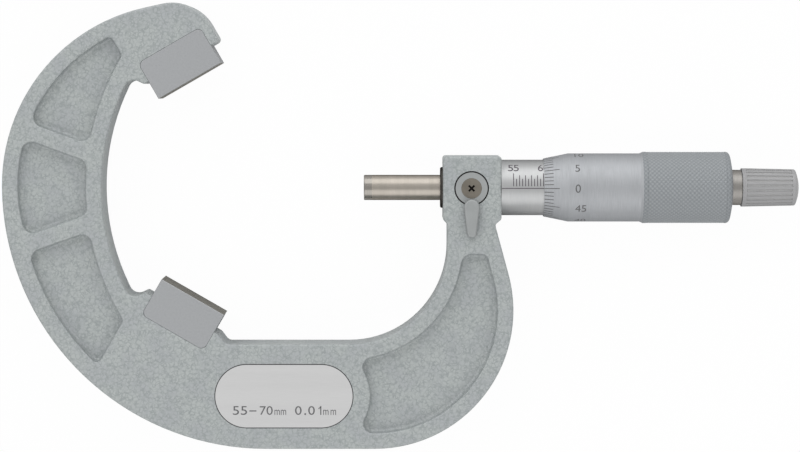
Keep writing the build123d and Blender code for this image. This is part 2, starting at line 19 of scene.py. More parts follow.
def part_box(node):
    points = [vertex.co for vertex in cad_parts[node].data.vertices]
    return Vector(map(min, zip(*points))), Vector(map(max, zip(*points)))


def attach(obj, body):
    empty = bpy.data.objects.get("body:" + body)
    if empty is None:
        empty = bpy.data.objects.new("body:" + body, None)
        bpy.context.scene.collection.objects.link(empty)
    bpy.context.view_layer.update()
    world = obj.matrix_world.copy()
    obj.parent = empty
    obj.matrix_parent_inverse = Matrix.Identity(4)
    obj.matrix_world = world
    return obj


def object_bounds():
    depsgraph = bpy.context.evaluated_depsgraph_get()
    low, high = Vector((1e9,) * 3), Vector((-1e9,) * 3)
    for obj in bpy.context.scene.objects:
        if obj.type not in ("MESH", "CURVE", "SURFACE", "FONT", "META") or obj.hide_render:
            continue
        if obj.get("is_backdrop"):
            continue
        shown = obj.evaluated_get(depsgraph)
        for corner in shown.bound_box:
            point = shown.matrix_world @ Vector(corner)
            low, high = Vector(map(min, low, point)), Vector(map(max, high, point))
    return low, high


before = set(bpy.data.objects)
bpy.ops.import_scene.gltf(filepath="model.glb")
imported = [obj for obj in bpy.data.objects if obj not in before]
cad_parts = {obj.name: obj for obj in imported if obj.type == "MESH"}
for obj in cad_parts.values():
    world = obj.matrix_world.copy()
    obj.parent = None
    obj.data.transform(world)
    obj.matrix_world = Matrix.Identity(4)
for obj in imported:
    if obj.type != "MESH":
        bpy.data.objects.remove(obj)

MM = 0.001
LOG = logging.getLogger("micrometer")

Colour = tuple[float, float, float, float]
Triple = tuple[float, float, float]
Pair = tuple[float, float]
Piece = bpy.types.Object
Socket = bpy.types.NodeSocket

# What a shader's socket takes: a constant, or the socket that its value comes from.
Feed = float | Triple | Colour | Socket

WHITE: Colour = (1.0, 1.0, 1.0, 1.0)
ORIGIN: Triple = (0.0, 0.0, 0.0)

# The span that most values of a noise lie in.
NOISE_SPAN: Pair = (0.35, 0.7)

# In metres: places nearer than SAME are the same, and places further than APART differ.
SAME = 1e-7
APART = 1e-6


class Body(Enum):
    """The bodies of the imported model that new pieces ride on."""

    FRAME = "frame_body"
    THIMBLE = "thimble_body"


class Slot(Enum):
    """The names of the record's material slots for new pieces' finishes."""

    CHROME = "satin_chrome"
    MARKING = "marking_paint"


class Grain(Enum):
    """How a metal's machining lines run, as the stretch of the noise along X, Y and Z."""

    RINGS = (1.0, 0.04, 0.04)
    LENGTHWISE = (0.03, 1.0, 1.0)
    FACE = (1.0, 1.0, 0.05)


class Line(Enum):
    """The lengths of the sleeve's graduations: where they end above the reference line, in mm."""

    WHOLE_FIVE = 3.72
    WHOLE = 3.25
    HALF = 2.37


def tint(red: int, green: int, blue: int) -> Colour:
    """Turns a display colour into the linear colour that a shader takes.

    Args:
        red: Red, 0 to 255.
        green: Green, 0 to 255.
        blue: Blue, 0 to 255.

    Returns:
        The linear red, green, blue and alpha.
    """

    def linear(value: int) -> float:
        """Gives the linear level of one channel."""
        part = value / 255
        return part / 12.92 if part <= 0.04045 else ((part + 0.055) / 1.055) ** 2.4

    return (linear(red), linear(green), linear(blue), 1.0)


def grey(level: float) -> Colour:
    """Gives the plain grey of a linear level."""
    return (level, level, level, 1.0)


class ShaderSheet:
    """A node material under construction."""

    # The places of the colour sockets on a mix node, which has sockets of other types before them.
    MIX_FIRST = 6
    MIX_SECOND = 7
    MIX_RESULT = 2

    def __init__(self, name: str) -> None:
        """Starts a material that holds one Principled shader.

        Args:
            name: The material's name.
        """
        self.material = bpy.data.materials.new(name)
        self.material.use_nodes = True
        self.tree = self.material.node_tree
        self.shader = self.tree.nodes["Principled BSDF"]
        self.place = self.add("ShaderNodeTexCoord").outputs["Object"]

    def add(self, kind: str, **settings: object) -> bpy.types.Node:
        """Adds a node.

        Args:
            kind: Blender's name of the node's type.
            **settings: Attributes to set on the node.

        Returns:
            The new node.
        """
        node = self.tree.nodes.new(kind)
        for name, value in settings.items():
            setattr(node, name, value)
        return node

    def join(self, source: Socket, target: Socket) -> None:
        """Links two sockets."""
        self.tree.links.new(source, target)

    def feed(self, target: Socket, value: Feed) -> None:
        """Gives a socket its value.

        Args:
            target: The socket.
            value: A constant, or the socket that the value comes from.
        """
        if isinstance(value, Socket):
            self.join(value, target)
        else:
            target.default_value = value

    def vector(self, operation: str, first: Socket, second: Feed = ORIGIN,
               result: str = "Vector") -> Socket:
        """Calculates with one or two vectors.

        Args:
            operation: Blender's name of the operation.
            first: The socket that gives the first vector.
            second: The second vector, or a socket that gives it.
            result: The output to take: Vector, or Value where the result is a number.

        Returns:
            The socket with the result.
        """
        node = self.add("ShaderNodeVectorMath", operation=operation)
        self.join(first, node.inputs[0])
        self.feed(node.inputs[1], second)
        return node.outputs[result]

    def math(self, operation: str, first: Feed, second: Feed = 0.0) -> Socket:
        """Calculates with one or two numbers.

        Args:
            operation: Blender's name of the operation.
            first: The first value, or a socket that gives it.
            second: The second value, or a socket that gives it.

        Returns:
            The socket with the result.
        """
        node = self.add("ShaderNodeMath", operation=operation)
        for socket, value in zip(node.inputs, (first, second)):
            self.feed(socket, value)
        return node.outputs[0]

    def ramp(self, source: Socket, start: float, end: float,
             low: float = 0.0, high: float = 1.0) -> Socket:
        """Maps a value smoothly from one span to another.

        Args:
            source: The value.
            start: The value that gives low.
            end: The value that gives high.
            low: The result at start.
            high: The result at end.

        Returns:
            The socket with the mapped value.
        """
        node = self.add("ShaderNodeMapRange", interpolation_type="SMOOTHSTEP")
        limits = {"From Min": start, "From Max": end, "To Min": low, "To Max": high}
        for name, value in limits.items():
            node.inputs[name].default_value = value
        self.join(source, node.inputs["Value"])
        return node.outputs["Result"]

    def step(self, source: Socket, level: float, half: float = 0.05,
             falling: bool = False) -> Socket:
        """Rises from 0 to 1 at a level, or falls from 1 to 0.

        Args:
            source: The value, in metres.
            level: The level in mm.
            half: Half of the span over which the step is softened, in mm.
            falling: Whether it falls.

        Returns:
            The socket with the share.
        """
        ends = (1.0, 0.0) if falling else (0.0, 1.0)
        low, high = (level - half) * MM, (level + half) * MM
        return self.ramp(source, low, high, *ends)

    def along(self, axis: str) -> Socket:
        """Gives the place on the piece along one axis.

        Args:
            axis: X, Y or Z.

        Returns:
            The socket with the place, in metres.
        """
        parts = self.add("ShaderNodeSeparateXYZ")
        self.join(self.place, parts.inputs[0])
        return parts.outputs[axis]

    def between(self, axis: str, low: float, high: float) -> Socket:
        """Gives 1 between two levels and 0 beyond them.

        Args:
            axis: X, Y or Z.
            low: The lower level in mm.
            high: The upper level in mm.

        Returns:
            The socket with the share.
        """
        place = self.along(axis)
        below = self.step(place, high, falling=True)
        return self.math("MULTIPLY", self.step(place, low), below)

    def away(self, across: Triple, centre: Triple = ORIGIN) -> Socket:
        """Gives the distance from a line that runs along X, Y or Z.

        Args:
            across: 0 for the axis along which the line runs, and 1 for the two others.
            centre: A point of the line, in mm.

        Returns:
            The socket with the distance, in metres.
        """
        offset = self.vector("SUBTRACT", self.place, tuple(value * MM for value in centre))
        flat = self.vector("MULTIPLY", offset, across)
        return self.vector("LENGTH", flat, result="Value")

    def noise(self, place: Socket, scale: float, detail: float, result: str = "Fac") -> Socket:
        """Adds a noise texture.

        Args:
            place: The coordinates that it reads.
            scale: Its features per metre.
            detail: Its number of finer layers.
            result: The output to take: Fac for a level, or Color for three of them.

        Returns:
            The socket with the noise.
        """
        node = self.add("ShaderNodeTexNoise")
        node.inputs["Scale"].default_value = scale
        node.inputs["Detail"].default_value = detail
        self.join(place, node.inputs["Vector"])
        return node.outputs[result]

    def blend(self, share: Socket, first: Feed, second: Feed) -> Socket:
        """Mixes two colours.

        Args:
            share: How much of the second colour shows.
            first: The first colour, or a socket that gives it.
            second: The second colour, or a socket that gives it.

        Returns:
            The socket with the mixed colour.
        """
        node = self.add("ShaderNodeMix", data_type="RGBA")
        self.join(share, node.inputs["Factor"])
        self.feed(node.inputs[self.MIX_FIRST], first)
        self.feed(node.inputs[self.MIX_SECOND], second)
        return node.outputs[self.MIX_RESULT]

    def bump(self, height: Socket, depth: float, strength: float) -> None:
        """Gives the shader's surface a relief.

        Args:
            height: The relief, 0 to 1.
            depth: The height of a full step, in mm.
            strength: How much of it shows.
        """
        node = self.add("ShaderNodeBump")
        node.inputs["Strength"].default_value = strength
        node.inputs["Distance"].default_value = depth * MM
        self.join(height, node.inputs["Height"])
        self.join(node.outputs["Normal"], self.shader.inputs["Normal"])

    def set(self, **values: Feed) -> None:
        """Gives the shader's own sockets, named in lower case with underscores, their values."""
        for name, value in values.items():
            self.feed(self.shader.inputs[name.replace("_", " ").title()], value)


def clamp_distance(sheet: ShaderSheet) -> Socket:
    """Gives the distance from the axis of the spindle clamp.

    Args:
        sheet: The material that asks for it.

    Returns:
        The socket with the distance, in metres.
    """
    low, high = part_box("lever_screw")
    middle = (low + high) / 2 / MM
    return sheet.away((1.0, 1.0, 0.0), (middle.x, middle.y, 0.0))


@dataclass(frozen=True)
class HammeredEnamel:
    """The casting's grey hammered enamel: small pale domes with softer, darker hollows between.

    A noise is given as its features per cell and its number of finer layers. Shade is painted
    in the gap round the plate, which starts below the plate's back and ends below its face, and in
    the bore round the clamp's disc, which lies between two levels.
    """

    name: str = "hammered_enamel"
    cell: float = 0.95
    pale: Colour = tint(174, 179, 178)
    vein: Colour = tint(148, 154, 154)
    cloud: Colour = tint(168, 172, 174)
    # Painted shade: the near-black colour of the shaded gaps round the plate and the clamp's disc.
    seam: Colour = tint(36, 36, 38)
    wander: float = 1.5
    wander_noise: Pair = (1.1, 2.0)
    vein_width: float = 0.24
    break_noise: Pair = (0.8, 3.0)
    break_span: Pair = (0.36, 0.6)
    break_least: float = 0.3
    cloud_noise: Pair = (0.16, 2.0)
    dome_width: float = 0.4
    relief: float = 0.04
    strength: float = 0.35
    metallic: float = 0.15
    roughness: float = 0.46
    plate_gap: float = 0.3
    plate_depths: Pair = (0.1, 0.13)
    clamp_radius: float = 4.5
    clamp_levels: Pair = (5.3, 6.92)

    def seams(self, sheet: ShaderSheet) -> Socket:
        """Finds where shade is painted: the gap round the name plate and the bore round the
        clamp's disc.

        Args:
            sheet: The enamel's material.

        Returns:
            The socket that gives 1 where shade is painted and 0 elsewhere.
        """
        low, high = (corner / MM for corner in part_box("name_plate"))
        back, face = self.plate_depths
        beside = sheet.math("MULTIPLY",
                            sheet.between("X", low.x - self.plate_gap, high.x + self.plate_gap),
                            sheet.between("Y", low.y - self.plate_gap, high.y + self.plate_gap))
        plate = sheet.math("MULTIPLY", beside, sheet.between("Z", low.z - back, high.z - face))
        disc = sheet.step(clamp_distance(sheet), self.clamp_radius, falling=True)
        clamp = sheet.math("MULTIPLY", disc, sheet.between("Z", *self.clamp_levels))
        return sheet.math("MAXIMUM", plate, clamp)

    def material(self) -> bpy.types.Material:
        """Makes the enamel.

        Returns:
            The material.
        """
        sheet = ShaderSheet(self.name)
        cell = self.cell * MM

        def noise(grain: Pair, result: str = "Fac") -> Socket:
            """Adds a noise whose features are counted per cell."""
            return sheet.noise(sheet.place, grain[0] / cell, grain[1], result)

        reach = self.wander * cell
        centred = sheet.vector("SUBTRACT", noise(self.wander_noise, "Color"), (0.5, 0.5, 0.5))
        scaled = sheet.vector("MULTIPLY", centred, (reach, reach, reach))
        cells = sheet.add("ShaderNodeTexVoronoi", feature="DISTANCE_TO_EDGE")
        cells.inputs["Scale"].default_value = 1 / cell
        sheet.join(sheet.vector("ADD", sheet.place, scaled), cells.inputs["Vector"])
        edge = cells.outputs["Distance"]
        net = sheet.ramp(edge, 0.0, self.vein_width, 1.0, 0.0)
        breaks = sheet.ramp(noise(self.break_noise), *self.break_span, self.break_least)
        clouds = sheet.ramp(noise(self.cloud_noise), *NOISE_SPAN)
        ground = sheet.blend(clouds, self.pale, self.cloud)
        enamel = sheet.blend(sheet.math("MULTIPLY", net, breaks), ground, self.vein)
        sheet.bump(sheet.ramp(edge, 0.0, self.dome_width), self.relief, self.strength)
        # Painted shade: the gaps round the plate and the clamp take the dark gap colour.
        sheet.set(base_color=sheet.blend(self.seams(sheet), enamel, self.seam),
                  metallic=self.metallic, roughness=self.roughness)
        return sheet.material


@dataclass(frozen=True)
class MachinedMetal:
    """A turned, ground or plated metal with fine machining lines and a soft play of tone.

    The lines are line mm apart and relief mm deep. Drift is the frequency of the slow play of
    tone as a share of the lines', and line_share what the lines add to the tone. Polish is the
    least and the greatest factor on the roughness. Edge is the level of what the metal mirrors
    at a glancing angle.
    """

    name: str
    colour: Colour
    shade: Colour
    roughness: float
    grain: Grain = Grain.RINGS
    line: float = 0.12
    relief: float = 0.0012
    edge: float = 0.3
    metallic: float = 1.0
    strength: float = 0.5
    line_span: Pair = (0.3, 0.75)
    line_share: float = 0.45
    drift: float = 0.04
    polish_span: Pair = (0.3, 0.7)
    polish: Pair = (0.92, 1.1)

    def material(self) -> bpy.types.Material:
        """Makes the metal.

        Returns:
            The material.
        """
        sheet = ShaderSheet(self.name)
        place = sheet.vector("MULTIPLY", sheet.place, self.grain.value)
        lines = sheet.noise(place, 1 / (self.line * MM), detail=3.0)
        drift = sheet.noise(place, self.drift / (self.line * MM), detail=2.0)
        tone = sheet.math("ADD", sheet.ramp(lines, *self.line_span, 0.0, self.line_share),
                          sheet.ramp(drift, *NOISE_SPAN, 0.0, 1.0 - self.line_share))
        colour = sheet.blend(tone, self.colour, self.shade)
        smooth, rough = (self.roughness * factor for factor in self.polish)
        polish = sheet.ramp(lines, *self.polish_span, smooth, rough)
        sheet.bump(lines, self.relief, self.strength)
        sheet.set(base_color=self.coloured(sheet, colour), roughness=self.roughened(sheet, polish),
                  metallic=self.mirroring(sheet), specular_tint=grey(self.edge))
        return sheet.material

    def coloured(self, sheet: ShaderSheet, colour: Socket) -> Socket:
        """Gives the colour that the metal shows; kinds with more tones change it."""
        return colour

    def roughened(self, sheet: ShaderSheet, rough: Socket) -> Socket:
        """Gives the metal's roughness; kinds with more finishes change it."""
        return rough

    def mirroring(self, sheet: ShaderSheet) -> Feed:
        """Gives how metallic it is; kinds with more finishes change it."""
        return self.metallic


@dataclass(frozen=True)
class SunkMetal(MachinedMetal):
    """A metal with painted shade more than sunk mm below a level along Z, in a recess's foot."""

    level: float = 0.0
    sunk: float = 0.15
    # Painted shade: the colour of what lies deep in a recess.
    dark: Colour = tint(34, 32, 30)

    def coloured(self, sheet: ShaderSheet, colour: Socket) -> Socket:
        """Paints shade on what lies below the level."""
        below = sheet.step(sheet.along("Z"), self.level - self.sunk, falling=True)
        return sheet.blend(below, colour, self.dark)


@dataclass(frozen=True)
class ClampMetal(SunkMetal):
    """The clamp lever's metal, with painted shade on its disc's rim by the gap round it, up to a
    little above the level.
    """

    # Painted shade: the radius beyond which the disc's rim is shaded, its softness, and how far
    # above the level it reaches.
    seam: float = 4.0
    seam_softness: float = 0.04
    seam_above: float = 0.1

    def coloured(self, sheet: ShaderSheet, colour: Socket) -> Socket:
        """Paints the gap's shade on the disc's rim as well.

        Args:
            sheet: The metal's material.
            colour: The metal's own colour.

        Returns:
            The socket with the colour that shows.
        """
        outside = sheet.step(clamp_distance(sheet), self.seam, self.seam_softness)
        foot = sheet.between("Z", 0.0, self.level + self.seam_above)
        rim = sheet.math("MULTIPLY", outside, foot)
        return sheet.blend(rim, super().coloured(sheet, colour), self.dark)


@dataclass(frozen=True)
class PlateMetal(SunkMetal):
    """The name plate's metal, with painted shade on the bevel round its face, by the gap round the
    plate.
    """

    bevel: float = 0.12
    bevel_softness: float = 0.03

    def coloured(self, sheet: ShaderSheet, colour: Socket) -> Socket:
        """Paints shade on the bevel as well, which follows the plate's two round ends.

        Args:
            sheet: The metal's material.
            colour: The metal's own colour.

        Returns:
            The socket with the colour that shows.
        """
        low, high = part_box("name_plate")
        middle = (low + high) / 2
        radius = (high.y - low.y) / 2
        straight = (high.x - low.x) / 2 - radius
        aside = sheet.math("ABSOLUTE", sheet.math("SUBTRACT", sheet.along("X"), middle.x))
        along = sheet.math("MAXIMUM", sheet.math("SUBTRACT", aside, straight), 0.0)
        across = sheet.math("SUBTRACT", sheet.along("Y"), middle.y)
        square = sheet.math("ADD", sheet.math("MULTIPLY", along, along),
                            sheet.math("MULTIPLY", across, across))
        bevel = sheet.step(sheet.math("SQRT", square), radius / MM - self.bevel,
                           self.bevel_softness)
        # Painted shade on the bevel, the shade of the gap round the plate.
        return sheet.blend(bevel, super().coloured(sheet, colour), self.dark)


@dataclass(frozen=True)
class GroovedMetal(MachinedMetal):
    """A metal with painted light in the grooves along its side, paler there to offset their shade;
    the side tapers by lean from its radius at start.
    """

    start: float = 95.15
    radius: float = 4.85
    lean: float = 0.0215
    # Painted light: the groove floors' paler colour, which offsets the shade in them.
    floor: Colour = tint(183, 183, 183)
    floor_depths: Pair = (0.03, 0.22)

    def coloured(self, sheet: ShaderSheet, colour: Socket) -> Socket:
        """Paints light on what lies below the tapered side, paler than the ribs.

        Args:
            sheet: The metal's material.
            colour: The metal's own colour.

        Returns:
            The socket with the colour that shows.
        """
        run = sheet.math("SUBTRACT", sheet.along("X"), self.start * MM)
        side = sheet.math("SUBTRACT", self.radius * MM, sheet.math("MULTIPLY", run, self.lean))
        depth = sheet.math("SUBTRACT", side, sheet.away((0.0, 1.0, 1.0)))
        share = sheet.ramp(depth, *(level * MM for level in self.floor_depths))
        return sheet.blend(share, colour, self.floor)


@dataclass(frozen=True)
class Knurl:
    """The diamonds of the grip: where they start and end in mm, how many, and their tones.

    Reach is the whole grip, with its plain rims. Crest lighting is the span of heights over which
    the colour turns into that of the crests: painted light on the crests and painted shade in the
    roots.
    """

    start: float = 71.02
    end: float = 90.88
    around: int = 50
    along: int = 18
    reach: Pair = (69.95, 92.1)
    # Painted shade and painted light: the roots' darker colour and the crests' paler one.
    colour: Colour = tint(136, 140, 143)
    crest: Colour = tint(153, 157, 160)
    worn: Pair = (-0.6, 0.9)
    roughness: float = 0.5
    metallic: float = 0.2


@dataclass(frozen=True)
class KnurledMetal(MachinedMetal):
    """The thimble's metal, which has the knurl's diamonds within the grip's reach."""

    knurl: Knurl = Knurl()

    def within(self, sheet: ShaderSheet) -> Socket:
        """Gives 1 within the grip's reach and 0 beyond it."""
        return sheet.between("X", *self.knurl.reach)

    def diamonds(self, sheet: ShaderSheet) -> Socket:
        """Gives the height of the diamonds.

        Args:
            sheet: The metal's material.

        Returns:
            The socket with the height, 1 at a crest and -1 at a root.
        """
        knurl = self.knurl
        pitch = (knurl.end - knurl.start) / knurl.along
        run = sheet.math("SUBTRACT", sheet.along("X"), knurl.start * MM)
        rows = sheet.math("COSINE", sheet.math("MULTIPLY", run, 2 * math.pi / (pitch * MM)))
        angle = sheet.math("ARCTAN2", sheet.along("Y"), sheet.along("Z"))
        columns = sheet.math("COSINE", sheet.math("MULTIPLY", angle, float(knurl.around)))
        return sheet.math("MULTIPLY", rows, columns)

    def coloured(self, sheet: ShaderSheet, colour: Socket) -> Socket:
        """Paints the diamonds within the grip's reach, with painted light on their crests and
        painted shade in their roots.

        Args:
            sheet: The metal's material.
            colour: The metal's own colour.

        Returns:
            The socket with the colour that shows.
        """
        worn = sheet.ramp(self.diamonds(sheet), *self.knurl.worn)
        grip = sheet.blend(worn, self.knurl.colour, self.knurl.crest)
        return sheet.blend(self.within(sheet), colour, grip)

    def roughened(self, sheet: ShaderSheet, rough: Socket) -> Socket:
        """Gives the grip its own roughness.

        Args:
            sheet: The metal's material.
            rough: The roughness beyond the grip.

        Returns:
            The socket with the roughness.
        """
        share = self.within(sheet)
        own = sheet.math("MULTIPLY", share, self.knurl.roughness)
        rest = sheet.math("MULTIPLY", sheet.math("SUBTRACT", 1.0, share), rough)
        return sheet.math("ADD", own, rest)

    def mirroring(self, sheet: ShaderSheet) -> Socket:
        """Makes the grip less of a mirror."""
        less = sheet.math("MULTIPLY", self.within(sheet), self.metallic - self.knurl.metallic)
        return sheet.math("SUBTRACT", self.metallic, less)


@dataclass(frozen=True)
class BlockSteel:
    """The vee blocks' ground steel, with painted shade on the lapped measuring face.

    The face that points along face_angle, in degrees from X to Y, is lapped and takes the painted
    shade. Grain is the noise's features per metre, and stretch its stretch along X, Y and Z.
    """

    name: str
    face_angle: float
    colour: Colour = tint(174, 176, 178)
    shade: Colour = tint(170, 172, 174)
    # Painted shade: the darker brownish colour of the measuring face.
    lapped: Colour = tint(131, 128, 119)
    roughness: float = 0.42
    metallic: float = 0.85
    edge: float = 0.6
    grain: float = 6000.0
    stretch: Triple = (0.35, 0.35, 1.0)
    relief: float = 0.0015
    strength: float = 0.4
    facing_span: Pair = (0.97, 0.995)

    def material(self) -> bpy.types.Material:
        """Makes the steel.

        Returns:
            The material.
        """
        sheet = ShaderSheet(self.name)
        place = sheet.vector("MULTIPLY", sheet.place, self.stretch)
        lines = sheet.noise(place, self.grain, detail=2.0)
        ground = sheet.blend(sheet.ramp(lines, *NOISE_SPAN), self.colour, self.shade)
        angle = math.radians(self.face_angle)
        normal = sheet.add("ShaderNodeTexCoord").outputs["Normal"]
        facing = sheet.vector("DOT_PRODUCT", normal, (math.cos(angle), math.sin(angle), 0.0),
                              result="Value")
        face = sheet.ramp(facing, *self.facing_span)
        sheet.bump(lines, self.relief, self.strength)
        # Painted shade on the face that points along face_angle.
        sheet.set(base_color=sheet.blend(face, ground, self.lapped), metallic=self.metallic,
                  roughness=self.roughness, specular_tint=grey(self.edge))
        return sheet.material


@dataclass(frozen=True)
class MarkingPaint:
    """The paint that fills the graduations and the lettering.

    Grain is the noise's features per metre, and paler how much paler the rubbed spots are.
    """

    name: str
    colour: Colour
    roughness: float = 0.55
    grain: float = 2500.0
    paler: float = 1.35

    def material(self) -> bpy.types.Material:
        """Makes the paint, a little uneven as rubbed-in paint is.

        Returns:
            The material.
        """
        sheet = ShaderSheet(self.name)
        uneven = sheet.ramp(sheet.noise(sheet.place, self.grain, detail=2.0), *NOISE_SPAN)
        rubbed = tuple(min(1.0, level * self.paler) for level in self.colour[:3]) + (1.0,)
        sheet.set(base_color=sheet.blend(uneven, self.colour, rubbed), metallic=0.0,
                  roughness=self.roughness)
        return sheet.material


class Workbench:
    """Selection, modes and placing, so that each operator acts on one piece."""

    @staticmethod
    def clear() -> None:
        """Deselects everything."""
        bpy.ops.object.select_all(action="DESELECT")

    @staticmethod
    def take(*pieces: Piece) -> None:
        """Selects pieces, the first of them active.

        Args:
            *pieces: The pieces to select.
        """
        Workbench.clear()
        for piece in pieces:
            piece.select_set(True)
        bpy.context.view_layer.objects.active = pieces[0]

    @staticmethod
    def edit(piece: Piece, element: str = "VERT") -> None:
        """Opens a piece in edit mode with everything selected.

        Args:
            piece: The piece to edit.
            element: What is selected: VERT, EDGE or FACE.
        """
        Workbench.take(piece)
        bpy.ops.object.mode_set(mode="EDIT")
        bpy.ops.mesh.select_mode(type=element)
        bpy.ops.mesh.select_all(action="SELECT")

    @staticmethod
    def pick_edges(piece: Piece, wanted: Callable[[Vector, Vector], bool]) -> None:
        """Opens a piece in edit mode with some of its edges selected.

        Args:
            piece: The piece to edit.
            wanted: Says of an edge's two ends whether it is selected.
        """
        Workbench.edit(piece, "EDGE")
        bpy.ops.mesh.select_all(action="DESELECT")
        bpy.ops.object.mode_set(mode="OBJECT")
        for edge in piece.data.edges:
            edge.select = wanted(*(piece.data.vertices[number].co for number in edge.vertices))
        bpy.ops.object.mode_set(mode="EDIT")

    @staticmethod
    def close() -> None:
        """Leaves edit mode."""
        bpy.ops.object.mode_set(mode="OBJECT")

    @staticmethod
    def outward(piece: Piece) -> None:
        """Merges a piece's doubles and turns its faces outwards.

        Args:
            piece: The piece to clean.
        """
        Workbench.edit(piece)
        bpy.ops.mesh.remove_doubles(threshold=SAME)
        bpy.ops.mesh.normals_make_consistent(inside=False)
        Workbench.close()

    @staticmethod
    def shift(piece: Piece, x: float = 0.0, y: float = 0.0, z: float = 0.0) -> None:
        """Moves a piece's mesh by distances in mm."""
        piece.data.transform(Matrix.Translation((x * MM, y * MM, z * MM)))

    @staticmethod
    def extent(piece: Piece) -> tuple[Vector, Vector]:
        """Gives the lowest and the highest corner of a piece's box, in metres."""
        axes = list(zip(*(vertex.co for vertex in piece.data.vertices)))
        return Vector([min(places) for places in axes]), Vector([max(places) for places in axes])

    @staticmethod
    def widen(piece: Piece, width: float) -> None:
        """Stretches a piece along X.

        Args:
            piece: The piece, whose mesh is changed.
            width: Its new size along X, in mm.
        """
        low, high = Workbench.extent(piece)
        factor = width / ((high.x - low.x) / MM)
        piece.data.transform(Matrix.Diagonal((factor, 1.0, 1.0, 1.0)))

    @staticmethod
    def copy(piece: Piece, place: Matrix) -> Piece:
        """Copies a piece with its own mesh.

        Args:
            piece: The piece to copy.
            place: Where the copy goes, applied to its mesh.

        Returns:
            The copy.
        """
        twin = piece.copy()
        twin.data = piece.data.copy()
        twin.data.transform(place)
        bpy.context.scene.collection.objects.link(twin)
        return twin

    @staticmethod
    def merge(name: str, pieces: list[Piece]) -> Piece:
        """Joins pieces into one.

        Args:
            name: The joined piece's name.
            pieces: The pieces to join.

        Returns:
            The joined piece.
        """
        Workbench.take(*pieces)
        bpy.ops.object.join()
        pieces[0].name = name
        pieces[0].data.name = name
        return pieces[0]

    @staticmethod
    def finish(piece: Piece, body: Body, slot: Slot, material: bpy.types.Material) -> None:
        """Dresses a piece, lets it ride on its body and reports it.

        Args:
            piece: The finished piece.
            body: The body that it rides on.
            slot: Not used.
            material: Its material.
        """
        piece.data.materials.clear()
        piece.data.materials.append(material)
        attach(piece, body.value)
        LOG.info("%s: %d faces on %s", piece.name, len(piece.data.polygons), body.value)


@dataclass
class Engraving:
    """Marks and numerals: flat pieces, laid on a surface or rolled round the spindle's axis.

    A flat piece has its height off the surface along Z. Rolled, its Y becomes the distance
    round the surface from the top, towards +Y. Stroke is the width of a figure's strokes as a
    share of its height. The stem and the flag of the figure one are placed by shares of its
    height too, and the flag's own stroke is a share of the stem's.
    """

    proud: float = 0.012
    sunk: float = 0.06
    softened: float = 0.02
    stroke: float = 0.13
    step_degrees: float = 3.0
    curve_steps: int = 5
    stem_left: float = 0.30
    flag_length: float = 0.36
    flag_stroke: float = 0.8
    flag_left: float = 0.24
    flag_level: float = 0.80
    flag_degrees: float = 38.0

    def line(self, length: float, width: float) -> Piece:
        """Makes a flat line, centred on the origin, with softened edges.

        Args:
            length: Its size along X, in mm.
            width: Its size along Y, in mm.

        Returns:
            The line.
        """
        Workbench.clear()
        bpy.ops.mesh.primitive_cube_add(size=MM, location=ORIGIN)
        piece = bpy.context.object
        Workbench.edit(piece)
        height = self.proud + self.sunk
        bpy.ops.transform.resize(value=(length, width, height))
        bpy.ops.transform.translate(value=(0, 0, (self.proud - height / 2) * MM))
        Workbench.close()
        Workbench.pick_edges(piece, lambda one, other: (one - other).xy.length < SAME)
        bpy.ops.mesh.bevel(offset=self.softened * MM, segments=1)
        Workbench.close()
        return piece

    def words(self, text: str, height: float) -> Piece:
        """Makes flat text with its lower left corner at the origin.

        Args:
            text: The words.
            height: The height of the tallest letter, in mm.

        Returns:
            The text as a mesh.
        """
        Workbench.clear()
        bpy.ops.object.text_add(location=ORIGIN)
        piece = bpy.context.object
        piece.data.body = text
        piece.data.resolution_u = self.curve_steps
        piece.data.size = 1.0
        piece.data.extrude = 0.5
        Workbench.take(piece)
        bpy.ops.object.convert(target="MESH")
        low, high = Workbench.extent(piece)
        scale = height * MM / (high.y - low.y)
        thick = (self.proud + self.sunk) * MM
        sized = Matrix.Diagonal((scale, scale, thick, 1.0))
        piece.data.transform(sized @ Matrix.Translation(-low))
        Workbench.shift(piece, z=-self.sunk)
        Workbench.outward(piece)
        return piece

    def figure_one(self, height: float) -> Piece:
        """Makes a figure one with a flag, its lower left corner at the origin.

        Args:
            height: Its height in mm.

        Returns:
            The figure.
        """
        stroke = self.stroke * height
        stem = self.line(stroke, height)
        Workbench.shift(stem, self.stem_left * height + stroke / 2, height / 2)
        flag = self.line(self.flag_length * height, self.flag_stroke * stroke)
        flag.data.transform(Matrix.Rotation(math.radians(self.flag_degrees), 4, "Z"))
        Workbench.shift(flag, self.flag_left * height, self.flag_level * height)
        return Workbench.merge("figure_one", [stem, flag])

    def roll(self, piece: Piece, radius: float) -> None:
        """Rolls a flat piece round the spindle's axis.

        Args:
            piece: The piece, whose mesh is changed.
            radius: The radius of the surface that it lies on, in mm.
        """
        low, high = Workbench.extent(piece)
        step = math.radians(self.step_degrees) * radius * MM
        level = (math.floor(low.y / step) + 1) * step
        Workbench.edit(piece)
        while level < high.y - APART:
            bpy.ops.mesh.select_all(action="SELECT")
            bpy.ops.mesh.bisect(plane_co=(0, level, 0), plane_no=(0, 1, 0))
            level += step
        Workbench.close()
        for vertex in piece.data.vertices:
            out = radius * MM + vertex.co.z
            turn = vertex.co.y / (radius * MM)
            vertex.co = Vector((vertex.co.x, out * math.sin(turn), out * math.cos(turn)))
        piece.data.update()


@dataclass(frozen=True)
class Word:
    """A group of letters on the name plate: where it starts and how wide it is, in mm."""

    text: str
    left: float
    width: float
    unit: bool = False


